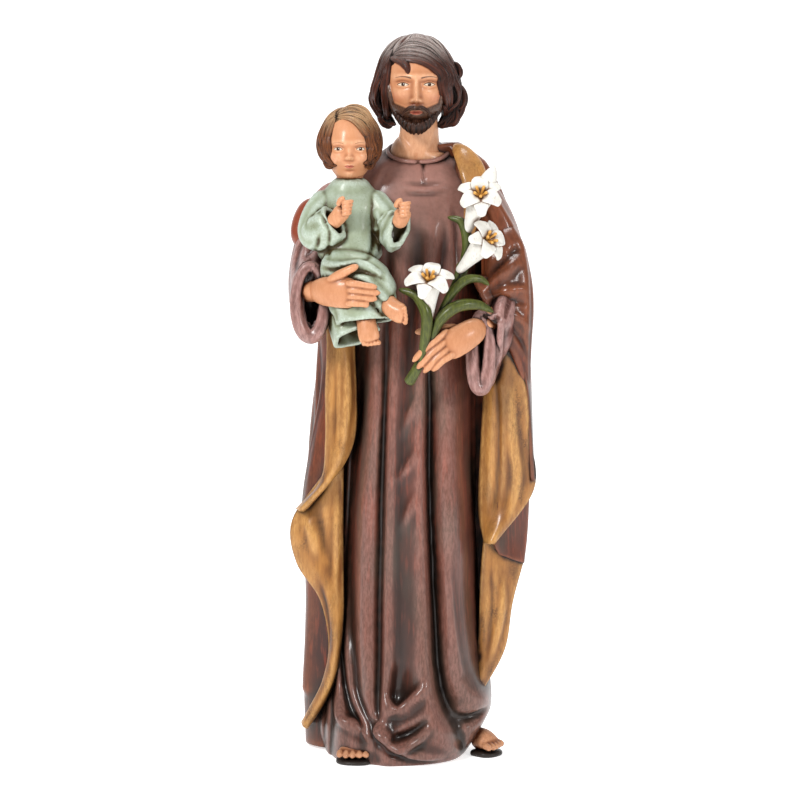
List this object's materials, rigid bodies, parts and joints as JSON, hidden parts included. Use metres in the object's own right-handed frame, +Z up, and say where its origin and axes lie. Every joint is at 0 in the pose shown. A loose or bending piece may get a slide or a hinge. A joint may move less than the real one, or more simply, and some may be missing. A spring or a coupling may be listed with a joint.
{
  "type": "saint joseph statue",
  "caption": "Standing robed Saint Joseph with the child on one arm and a spray of lilies in the other hand, cast in one piece and painted by hand",
  "frame": {"origin": "the middle of the statue's box, on the flat underside that it stands on", "axes": "+Z up the figure; -Y the way the figure faces; +X to the viewer's right, the figure's left"},
  "size_m": [0.1552, 0.1268, 0.4564],
  "materials": {
    "painted_resin": "hand-painted cast resin with a dark antique wash and a satin varnish"
  },
  "bodies": {
    "root": {"saint_joseph_statue": "painted_resin"}
  },
  "joints": []
}
